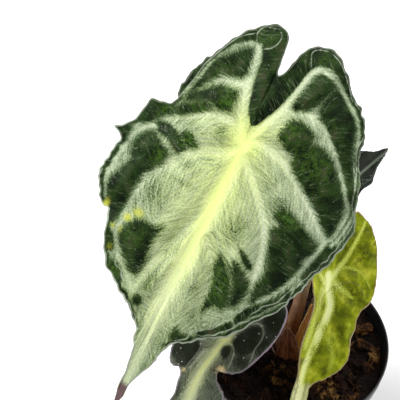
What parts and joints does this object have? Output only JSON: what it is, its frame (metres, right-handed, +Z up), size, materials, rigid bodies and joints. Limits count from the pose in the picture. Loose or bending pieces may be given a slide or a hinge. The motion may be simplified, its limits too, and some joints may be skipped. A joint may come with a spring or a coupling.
{
  "type": "potted venom alocasia",
  "caption": "Young aroid with one large heart-shaped patterned leaf, smaller dark and yellowing leaves, and papery sheaths, in peat in a black nursery pot.",
  "frame": {"origin": "middle of the pot's foot, on the surface that the pot stands on", "axes": "+Z up out of the pot, -Y towards the side that the large leaf faces, +X to that view's right"},
  "size_m": [0.1734, 0.1815, 0.2817],
  "materials": {
    "pot": "satin",
    "soil": "matte",
    "stem": "satin",
    "sheath": "satin",
    "petiole": "satin",
    "leaf_pale_green": "satin",
    "leaf_grey_green": "satin",
    "leaf_yellow_green": "satin",
    "leaf_dark_green": "satin"
  },
  "bodies": {
    "root": {"pot": "pot", "soil": "soil", "stem": "stem", "sheath_front": "sheath", "sheath_right": "sheath", "sheath_left": "sheath", "petiole_1": "petiole", "petiole_2": "petiole", "petiole_3": "petiole", "petiole_4": "petiole", "blade_1": "leaf_pale_green", "blade_2": "leaf_grey_green", "blade_3": "leaf_yellow_green", "blade_4": "leaf_dark_green"}
  },
  "joints": []
}
